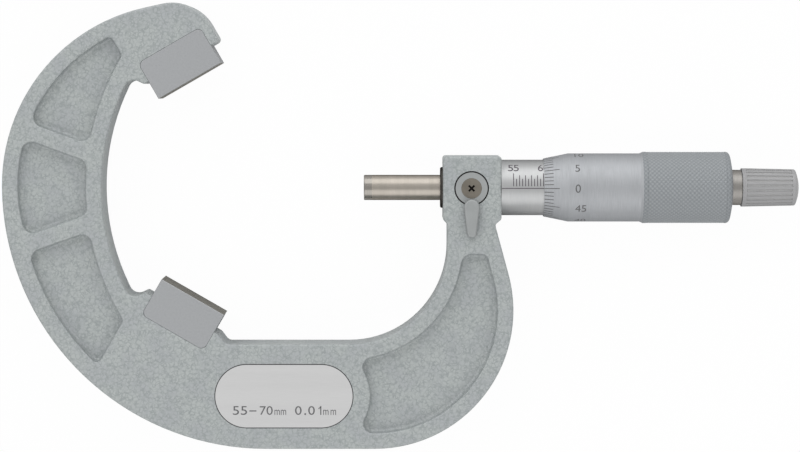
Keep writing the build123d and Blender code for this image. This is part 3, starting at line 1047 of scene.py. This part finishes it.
@dataclass
class Casting:
    """The frame with its vee blocks and its name plate.

    The lower block's measuring face points along face_angle, in degrees from X to Y, and the
    upper one's along minus that. Dash_level is where a dash lies, as a share of the letters'
    height.
    """

    face_angle: float = 60.0
    letter_height: float = 2.2
    unit_height: float = 1.3
    baseline: float = -56.85
    dash_level: float = 0.45
    words: tuple[Word, ...] = (
        Word("55", -32.86, 3.59), Word("–", -28.71, 1.77), Word("70", -26.1, 3.26),
        Word("mm", -22.4, 2.92, unit=True), Word("0", -17.25, 1.66), Word(".", -14.9, 0.42),
        Word("0", -13.94, 1.66), Word("1", -11.59, 0.8), Word("m", -10.19, 1.35, unit=True),
        Word("m", -8.32, 1.35, unit=True))

    def dress(self, enamel: HammeredEnamel, plate: MachinedMetal) -> None:
        """Gives the casting, the blocks and the plate their finishes.

        Args:
            enamel: The casting's finish.
            plate: The name plate's finish.
        """
        dress_node("frame", enamel.material())
        upper = BlockSteel("upper_block_steel", -self.face_angle)
        lower = BlockSteel("lower_block_steel", self.face_angle)
        dress_node("upper_vee_block", upper.material())
        dress_node("lower_vee_block", lower.material())
        dress_node("name_plate", plate.material())

    def group(self, word: Word, engraving: Engraving) -> Piece:
        """Makes one group of letters, its lower left corner at the origin.

        Args:
            word: The group.
            engraving: The maker of flat words.

        Returns:
            The letters.
        """
        if word.text == "1":
            return engraving.figure_one(self.letter_height)
        dot, dash = word.text == ".", word.text == "–"
        if dot or dash:
            thick = word.width if dot else engraving.stroke * self.letter_height
            level = thick / 2 if dot else self.dash_level * self.letter_height
            piece = engraving.line(word.width, thick)
            Workbench.shift(piece, word.width / 2, level)
            return piece
        piece = engraving.words(word.text, self.unit_height if word.unit else self.letter_height)
        Workbench.widen(piece, word.width)
        return piece

    def letter(self, engraving: Engraving, paint: MarkingPaint) -> None:
        """Puts the measuring range and the step of the scale on the name plate.

        Args:
            engraving: The maker of flat words.
            paint: Their finish.
        """
        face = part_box("name_plate")[1].z / MM
        pieces = []
        for word in self.words:
            piece = self.group(word, engraving)
            Workbench.shift(piece, word.left, self.baseline, face)
            pieces.append(piece)
        piece = Workbench.merge("plate_lettering", pieces)
        Workbench.finish(piece, Body.FRAME, Slot.MARKING, paint.material())


@dataclass
class Sleeve:
    """The graduated sleeve: its reference line, its graduations and their numerals.

    There is a line for each half millimetre of the reading, last being the number of the last
    one. Every line at a multiple of numbered_step has a numeral, reading_step mm after the one
    before.
    """

    radius: float = 7.0
    first_line: float = 37.5
    pitch: float = 0.75
    last: int = 30
    numbered_step: int = 10
    lines_start: float = 0.53
    line_width: float = 0.2
    reference_start: float = 34.6
    reference_end: float = 61.5
    reference_width: float = 0.2
    numeral_height: float = 2.2
    digit_width: float = 1.3
    digit_step: float = 1.42
    numeral_angle: float = 46.4
    first_reading: int = 55
    reading_step: int = 5

    def around(self, across: float) -> float:
        """Gives the distance round the sleeve of a point at a distance across, both in mm."""
        return self.radius * math.asin(across / self.radius)

    def kind(self, number: int) -> Line:
        """Gives the kind of line that a graduation has.

        Args:
            number: The graduation's number, counted in half millimetres.

        Returns:
            Its kind.
        """
        if number % self.numbered_step == 0:
            return Line.WHOLE_FIVE
        return Line.HALF if number % 2 else Line.WHOLE

    def graduate(self, engraving: Engraving) -> Piece:
        """Makes the reference line and the graduations.

        Args:
            engraving: The maker of flat marks.

        Returns:
            The lines as one piece.
        """
        reference = engraving.line(self.reference_end - self.reference_start, self.reference_width)
        Workbench.shift(reference, (self.reference_start + self.reference_end) / 2)
        engraving.roll(reference, self.radius)
        pieces = [reference]
        start = self.around(self.lines_start)
        for kind in Line:
            end = self.around(kind.value)
            pattern = engraving.line(self.line_width, end - start)
            Workbench.shift(pattern, y=(start + end) / 2)
            engraving.roll(pattern, self.radius)
            for number in range(self.last + 1):
                if kind is self.kind(number):
                    place = (self.first_line + self.pitch * number) * MM
                    pieces.append(Workbench.copy(pattern, Matrix.Translation((place, 0, 0))))
            bpy.data.objects.remove(pattern)
        return Workbench.merge("sleeve_graduations", pieces)

    def number(self, engraving: Engraving) -> Piece:
        """Makes the numerals, digit by digit.

        Args:
            engraving: The maker of flat words.

        Returns:
            The numerals as one piece.
        """
        pieces = []
        low = math.radians(self.numeral_angle) * self.radius - self.numeral_height / 2
        for count in range(self.last // self.numbered_step + 1):
            middle = self.first_line + self.numbered_step * self.pitch * count
            left = middle - (self.digit_step + self.digit_width) / 2
            for digit in str(self.first_reading + self.reading_step * count):
                figure = engraving.words(digit, self.numeral_height)
                Workbench.widen(figure, self.digit_width)
                Workbench.shift(figure, left, low)
                engraving.roll(figure, self.radius)
                pieces.append(figure)
                left += self.digit_step
        return Workbench.merge("sleeve_numerals", pieces)

    def dress(self, chrome: MachinedMetal, engraving: Engraving, paint: MarkingPaint) -> None:
        """Dresses the sleeve and puts its scale on it.

        Args:
            chrome: The sleeve's finish.
            engraving: The maker of marks.
            paint: The marks' finish.
        """
        dress_node("graduated_sleeve", chrome.material())
        filling = paint.material()
        Workbench.finish(self.graduate(engraving), Body.FRAME, Slot.MARKING, filling)
        Workbench.finish(self.number(engraving), Body.FRAME, Slot.MARKING, filling)


@dataclass
class Thimble:
    """The thimble: its fifty graduations with numerals, and the knurled band of its grip."""

    bevel_start: float = 45.2
    bevel_run: float = 6.2
    bevel_radius: float = 7.3
    barrel_radius: float = 8.6
    divisions: int = 50
    numbered_step: int = 5
    line_start: float = 45.25
    short_end: float = 47.5
    long_end: float = 49.0
    line_width: float = 0.19
    numeral_left: float = 52.9
    numeral_height: float = 2.1
    knurl: Knurl = Knurl()
    knurl_root: float = 8.87
    knurl_crest: float = 8.99
    knurl_inside: float = 8.6

    def turn(self, number: int) -> Matrix:
        """Gives the turn from the line at zero to another."""
        return Matrix.Rotation(-2 * math.pi * number / self.divisions, 4, "X")

    def division_line(self, engraving: Engraving, end: float) -> Piece:
        """Makes the line at zero, on the bevelled edge.

        Args:
            engraving: The maker of flat marks.
            end: Where the line ends along X, in mm.

        Returns:
            The line.
        """
        lean = math.atan2(self.barrel_radius - self.bevel_radius, self.bevel_run)
        piece = engraving.line((end - self.line_start) / math.cos(lean), self.line_width)
        piece.data.transform(Matrix.Rotation(-lean, 4, "Y"))
        middle = (self.line_start + end) / 2
        out = self.bevel_radius + (middle - self.bevel_start) * math.tan(lean)
        Workbench.shift(piece, middle, z=out)
        return piece

    def graduate(self, engraving: Engraving) -> Piece:
        """Makes the lines round the bevelled edge, every fifth of them longer.

        Args:
            engraving: The maker of flat marks.

        Returns:
            The lines as one piece.
        """
        short = self.division_line(engraving, self.short_end)
        long = self.division_line(engraving, self.long_end)
        pieces = []
        for number in range(self.divisions):
            pattern = short if number % self.numbered_step else long
            pieces.append(Workbench.copy(pattern, self.turn(number)))
        for pattern in (short, long):
            bpy.data.objects.remove(pattern)
        return Workbench.merge("thimble_graduations", pieces)

    def number(self, engraving: Engraving) -> Piece:
        """Makes the numerals round the barrel, one at every fifth line.

        Args:
            engraving: The maker of flat words.

        Returns:
            The numerals as one piece.
        """
        pieces = []
        for number in range(0, self.divisions, self.numbered_step):
            words = engraving.words(str(number), self.numeral_height)
            Workbench.shift(words, self.numeral_left, -self.numeral_height / 2)
            engraving.roll(words, self.barrel_radius)
            words.data.transform(self.turn(number))
            pieces.append(words)
        return Workbench.merge("thimble_numerals", pieces)

    def band(self) -> Piece:
        """Makes the knurled band as a net of small pyramids on a closed ring.

        Each field of the grid is cut along its diagonals and the grid's own lines are then
        dissolved, which leaves diamonds whose middles are pulled up.

        Returns:
            The band.
        """
        Workbench.clear()
        bpy.ops.mesh.primitive_cylinder_add(
            vertices=self.knurl.around, radius=self.knurl_root * MM,
            depth=(self.knurl.end - self.knurl.start) * MM, end_fill_type="NOTHING",
            location=ORIGIN)
        piece = bpy.context.object
        piece.name = "grip_knurling"
        piece.data.transform(Matrix.Rotation(math.pi / 2, 4, "Y"))
        Workbench.shift(piece, (self.knurl.end + self.knurl.start) / 2)
        self.select_edges(piece, lengthwise=True)
        bpy.ops.mesh.subdivide(number_cuts=self.knurl.along - 1)
        Workbench.close()
        Workbench.edit(piece, "FACE")
        bpy.ops.mesh.poke(offset=0.0)
        Workbench.close()
        self.swell(piece)
        self.select_edges(piece, lengthwise=True, ringwise=True)
        bpy.ops.mesh.dissolve_edges(use_verts=False)
        Workbench.close()
        Workbench.edit(piece, "FACE")
        bpy.ops.mesh.poke(offset=(self.knurl_crest - self.knurl_root) * MM)
        Workbench.close()
        self.close_ring(piece)
        Workbench.outward(piece)
        return piece

    def swell(self, piece: Piece) -> None:
        """Moves every point of the band out to the root of the knurl.

        Args:
            piece: The band.
        """
        for vertex in piece.data.vertices:
            factor = self.knurl_root * MM / math.hypot(vertex.co.y, vertex.co.z)
            vertex.co = Vector((vertex.co.x, vertex.co.y * factor, vertex.co.z * factor))

    def select_edges(self, piece: Piece, lengthwise: bool = False, ringwise: bool = False) -> None:
        """Opens the band in edit mode with its straight grid lines selected.

        Args:
            piece: The band.
            lengthwise: Whether the lines along X are selected.
            ringwise: Whether the lines round the axis are selected, but not the two ends.
        """
        ends = (self.knurl.start * MM, self.knurl.end * MM)

        def straight(one: Vector, other: Vector) -> bool:
            """Says whether an edge is a grid line of the wanted kind.

            Args:
                one: One of its ends.
                other: The other end.

            Returns:
                Whether it is.
            """
            level = abs(one.x - other.x) < SAME
            turned = (one - other).yz.length > APART
            inner = all(abs(one.x - end) > APART for end in ends)
            along = lengthwise and not level and not turned
            return along or (ringwise and level and turned and inner)

        Workbench.pick_edges(piece, straight)

    def close_ring(self, piece: Piece) -> None:
        """Turns the band's two open ends inwards and joins them under the surface.

        Args:
            piece: The band.
        """
        Workbench.edit(piece, "EDGE")
        bpy.ops.mesh.select_all(action="DESELECT")
        bpy.ops.mesh.select_non_manifold(extend=False, use_boundary=True, use_wire=False,
                                         use_multi_face=False, use_non_contiguous=False,
                                         use_verts=False)
        bpy.ops.mesh.extrude_edges_move()
        shrink = self.knurl_inside / self.knurl_root
        bpy.ops.transform.resize(value=(1.0, shrink, shrink))
        bpy.ops.mesh.bridge_edge_loops()
        Workbench.close()

    def dress(self, chrome: MachinedMetal, grip: MachinedMetal, engraving: Engraving,
              paint: MarkingPaint) -> None:
        """Dresses the thimble and puts its scale and knurling on it.

        Args:
            chrome: The thimble's finish.
            grip: The knurled band's finish.
            engraving: The maker of marks.
            paint: The marks' finish.
        """
        dress_node("thimble", chrome.material())
        filling = paint.material()
        Workbench.finish(self.graduate(engraving), Body.THIMBLE, Slot.MARKING, filling)
        Workbench.finish(self.number(engraving), Body.THIMBLE, Slot.MARKING, filling)
        Workbench.finish(self.band(), Body.THIMBLE, Slot.CHROME, grip.material())


@dataclass
class SmallParts:
    """The spindle, the clamp, the ratchet stop and the pieces inside, which keep their solids."""

    finishes: tuple[tuple[MachinedMetal, tuple[str, ...]], ...]

    def dress(self) -> None:
        """Gives each of these solids its finish."""
        for finish, nodes in self.finishes:
            material = finish.material()
            for node in nodes:
                dress_node(node, material)


@dataclass(frozen=True)
class Lamp:
    """A soft rectangular lamp: its place and size in metres, and its power in watts."""

    name: str
    place: Triple
    size: Pair
    power: float


@dataclass
class Studio:
    """Camera, lights, world and floor.

    The camera's place is in mm and its tilt in degrees. The lamps face aim, in metres: one hangs
    over the upper left and a long one on each side of the spindle. The floor is floor_size
    metres long and lies floor_gap mm under the object.
    """

    camera_place: Triple = (9.0909, 26.111, 740.0)
    camera_tilt: float = -2.774
    lens: float = 132.02
    sensor: float = 36.0
    clip_start: float = 0.01
    aim: Triple = (0.01, -0.01, 0.0)
    lamps: tuple[Lamp, ...] = (
        Lamp("key", (-0.60, 0.35, 1.00), (0.9, 0.9), 2.0),
        Lamp("upper_strip", (0.05, 0.668, 0.34), (1.2, 0.70), 2.85),
        Lamp("lower_strip", (0.05, -0.530, 0.530), (1.2, 0.67), 1.85))
    world_level: float = 0.63
    background_share: float = 0.97
    floor_level: float = 0.85
    floor_gap: float = 0.15
    floor_size: float = 3.0

    def camera(self) -> None:
        """Makes the camera, above the graduated side."""
        data = bpy.data.cameras.new("camera")
        data.lens = self.lens
        data.sensor_width = self.sensor
        data.clip_start = self.clip_start
        view = bpy.data.objects.new("camera", data)
        view.location = Vector(self.camera_place) * MM
        view.rotation_euler = (math.radians(self.camera_tilt), 0.0, 0.0)
        bpy.context.scene.collection.objects.link(view)
        bpy.context.scene.camera = view

    def hang(self, lamp: Lamp) -> None:
        """Hangs a lamp so that it faces the object.

        Args:
            lamp: The lamp.
        """
        data = bpy.data.lights.new(lamp.name, "AREA")
        data.shape = "RECTANGLE"
        data.size, data.size_y = lamp.size
        data.energy = lamp.power
        light = bpy.data.objects.new(lamp.name, data)
        light.location = lamp.place
        light.rotation_mode = "QUATERNION"
        way = Vector(self.aim) - Vector(lamp.place)
        light.rotation_quaternion = way.to_track_quat("-Z", "Y")
        bpy.context.scene.collection.objects.link(light)

    @staticmethod
    def show(tree: bpy.types.NodeTree, share: Socket, lit: bpy.types.Node, seen: bpy.types.Node,
             output: str) -> None:
        """Mixes a shader that lights the object with one for the camera.

        Args:
            tree: The node tree.
            share: How much of the camera's shader shows.
            lit: The shader that lights the object.
            seen: The camera's shader.
            output: The name of the node that takes the mix.
        """
        choice = tree.nodes.new("ShaderNodeMixShader")
        sources = (share, lit.outputs[0], seen.outputs[0])
        for socket, source in zip(choice.inputs, sources):
            tree.links.new(source, socket)
        tree.links.new(choice.outputs[0], tree.nodes[output].inputs["Surface"])

    def world(self) -> None:
        """Makes the plain pale surroundings, which the camera sees as white."""
        world = bpy.data.worlds.new("surroundings")
        bpy.context.scene.world = world
        world.use_nodes = True
        tree = world.node_tree
        light = tree.nodes["Background"]
        white = tree.nodes.new("ShaderNodeBackground")
        for background, strength in ((light, self.world_level), (white, 1.0)):
            background.inputs["Color"].default_value = WHITE
            background.inputs["Strength"].default_value = strength
        path = tree.nodes.new("ShaderNodeLightPath")
        self.show(tree, path.outputs["Is Camera Ray"], light, white, "World Output")

    def floor(self) -> None:
        """Lays the pale floor just under the object, which the camera sees as nearly white."""
        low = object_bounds()[0]
        Workbench.clear()
        bpy.ops.mesh.primitive_plane_add(size=self.floor_size, location=ORIGIN)
        piece = bpy.context.object
        piece.name = "floor"
        Workbench.shift(piece, z=low.z / MM - self.floor_gap)
        material = bpy.data.materials.new("floor_paper")
        material.use_nodes = True
        tree = material.node_tree
        tree.nodes.remove(tree.nodes["Principled BSDF"])
        paper = tree.nodes.new("ShaderNodeBsdfDiffuse")
        paper.inputs["Color"].default_value = grey(self.floor_level)
        white = tree.nodes.new("ShaderNodeEmission")
        white.inputs["Color"].default_value = WHITE
        white.inputs["Strength"].default_value = 1.0
        path = tree.nodes.new("ShaderNodeLightPath")
        share = tree.nodes.new("ShaderNodeMath")
        share.operation = "MULTIPLY"
        share.inputs[1].default_value = self.background_share
        tree.links.new(path.outputs["Is Camera Ray"], share.inputs[0])
        self.show(tree, share.outputs[0], paper, white, "Material Output")
        piece.data.materials.append(material)
        piece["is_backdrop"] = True

    def build(self) -> None:
        """Sets up the whole studio."""
        bpy.context.scene.view_settings.view_transform = "Standard"
        self.camera()
        for lamp in self.lamps:
            self.hang(lamp)
        self.world()
        self.floor()
        LOG.info("studio: camera, %d lamps, surroundings and floor", len(self.lamps))


def dress_node(node: str, material: bpy.types.Material) -> None:
    """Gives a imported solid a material.

    Args:
        node: The solid's name.
        material: Its new material.
    """
    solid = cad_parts[node]
    solid.data.materials.clear()
    solid.data.materials.append(material)
    LOG.info("%s: %s", node, material.name)


def main() -> None:
    """Builds the sub-assemblies in order."""
    logging.basicConfig(level=logging.INFO, format="%(name)s %(message)s")
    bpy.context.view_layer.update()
    engraving = Engraving()
    knurl = Knurl()
    chrome = MachinedMetal("satin_chrome", tint(186, 187, 187), tint(180, 181, 182), 0.42)
    barrel = KnurledMetal("thimble_chrome", tint(182, 184, 187), tint(177, 179, 182), 0.6)
    grip = KnurledMetal("knurled_chrome", knurl.colour, knurl.crest, knurl.roughness,
                        relief=0.0, edge=1.0)
    spindle = MachinedMetal("ground_spindle", tint(180, 173, 164), tint(168, 162, 153), 0.31,
                            edge=0.1)
    tip = MachinedMetal("lapped_tip", tint(162, 158, 152), tint(150, 146, 140), 0.22, edge=0.35)
    neck = MachinedMetal("turned_neck", tint(160, 157, 153), tint(152, 149, 145), 0.42)
    knob = GroovedMetal("plated_knob", tint(172, 172, 173), tint(168, 168, 169), 0.68,
                        Grain.LENGTHWISE, relief=0.0002, metallic=0.5)
    collar = MachinedMetal("dark_collar", tint(80, 77, 74), tint(68, 65, 62), 0.4)
    lever = ClampMetal("satin_lever", tint(164, 167, 167), tint(157, 160, 160), 0.45, Grain.FACE,
                       metallic=0.4, level=7.0)
    screw = SunkMetal("dull_screw", tint(142, 136, 126), tint(124, 119, 110), 0.38, Grain.FACE,
                      level=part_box("lever_screw")[1].z / MM)
    inside = MachinedMetal("turned_steel", tint(150, 148, 144), tint(138, 136, 132), 0.35)
    spring = MachinedMetal("spring_wire", tint(118, 117, 114), tint(104, 103, 101), 0.35)
    brass = MachinedMetal("turned_brass", tint(200, 170, 100), tint(184, 154, 88), 0.35)
    # The plate's painted shade is dark grey, on its sunk sides and on its bevel.
    plate = PlateMetal("satin_plate", tint(204, 204, 204), tint(199, 199, 199), 0.5,
                       Grain.LENGTHWISE, metallic=0.3, relief=0.0004, dark=tint(70, 70, 72),
                       level=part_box("name_plate")[1].z / MM)
    casting = Casting()
    casting.dress(HammeredEnamel(), plate)
    casting.letter(engraving, MarkingPaint("plate_paint", tint(88, 88, 90)))
    Sleeve().dress(chrome, engraving, MarkingPaint("sleeve_paint", tint(72, 66, 74)))
    Thimble().dress(barrel, grip, engraving, MarkingPaint("thimble_paint", tint(84, 84, 84)))
    SmallParts((
        (spindle, ("spindle",)),
        (tip, ("spindle_tip",)),
        (collar, ("spindle_guide_bush",)),
        (lever, ("clamp_lever",)),
        (screw, ("lever_screw",)),
        (neck, ("ratchet_base",)),
        (knob, ("ratchet_knob", "ratchet_cap")),
        (inside, ("inner_sleeve", "adjusting_nut", "ratchet_tooth_plate", "ratchet_screw",
                  "ratchet_washer", "clamp_stud")),
        (spring, ("ratchet_spring",)),
        (brass, ("clamp_plug",)),
    )).dress()
    Studio().build()


if __name__ == "__main__":
    main()
